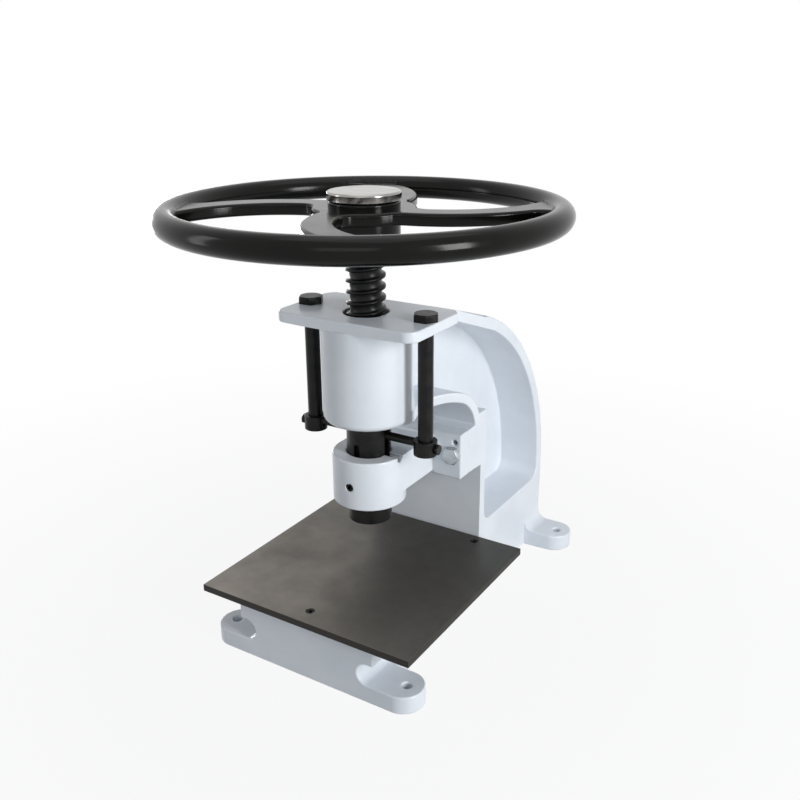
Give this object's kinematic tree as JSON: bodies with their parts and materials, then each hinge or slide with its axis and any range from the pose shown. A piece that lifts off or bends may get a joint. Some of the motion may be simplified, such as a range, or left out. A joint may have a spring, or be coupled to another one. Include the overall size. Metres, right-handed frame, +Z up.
{
  "type": "manual screw press",
  "caption": "Bench hand-wheel screw press: a ribbed white C-frame casting, a wheel-turned trapezoidal screw in a bronze nut, a guided round ram, stop rods and a flat bed plate.",
  "frame": {"origin": "middle of the rectangle of bench bolt holes, on the bench surface under the base", "axes": "+Z up along the press screw, -Y towards the user and the open front of the throat, +X to the user's right"},
  "size_m": [0.36, 0.441, 0.4297],
  "materials": {
    "casting_paint": "gloss enamel over a sand-cast skin",
    "bare_steel": "plain turned steel",
    "bed_steel": "ground steel with a dull oiled film",
    "black_oxide": "black oxide",
    "zinc": "bright zinc plate",
    "bronze": "machined",
    "wheel_enamel": "high-gloss black enamel",
    "chrome": "polished"
  },
  "bodies": {
    "frame": {"frame_casting": "casting_paint", "bed_plate": "bed_steel", "bed_plate_screws": "black_oxide", "screw_nut": "bronze", "nut_dowels": "bare_steel", "nut_retaining_ring": "bare_steel", "upper_guide_bush": "bronze", "ram_guide_bracket": "casting_paint", "guide_bolts": "zinc", "guide_dowels": "bare_steel", "ram_key_screw": "black_oxide", "left_stop_rod": "black_oxide", "right_stop_rod": "black_oxide"},
    "ram": {"ram": "black_oxide", "ram_retaining_pins": "bare_steel", "bearing_lower_race": "bare_steel", "bearing_balls": "bare_steel", "bearing_cage": "bronze"},
    "spindle": {"press_screw": "black_oxide", "bearing_upper_race": "bare_steel", "handwheel": "wheel_enamel", "wheel_key": "bare_steel", "hub_washer": "bare_steel", "hub_nut": "bare_steel", "hub_cap": "chrome"},
    "left_stop": {"left_stop_arm": "black_oxide", "left_clamp_screw": "black_oxide"},
    "right_stop": {"right_stop_arm": "black_oxide", "right_clamp_screw": "black_oxide"}
  },
  "joints": [
    {"name": "ram_slide", "type": "slide", "parent": "frame", "child": "ram", "axis": [0, 0, 1], "range_m": [-0.022, 0.01]},
    {"name": "wheel_turn", "type": "hinge", "parent": "ram", "child": "spindle", "pos_m": [0, -0.0745, 0.411], "axis": [0, 0, 1], "range_deg": [-792, 360]},
    {"name": "left_stop_set", "type": "slide", "parent": "frame", "child": "left_stop", "axis": [0, 0, 1], "range_m": [0, 0.008]},
    {"name": "right_stop_set", "type": "slide", "parent": "frame", "child": "right_stop", "axis": [0, 0, 1], "range_m": [0, 0.008]}
  ],
  "couplings": [
    {"joint": "ram_slide", "follows": "wheel_turn", "m_per_rad": 0.0015915},
    {"joint": "right_stop_set", "follows": "left_stop_set", "ratio": 1}
  ]
}
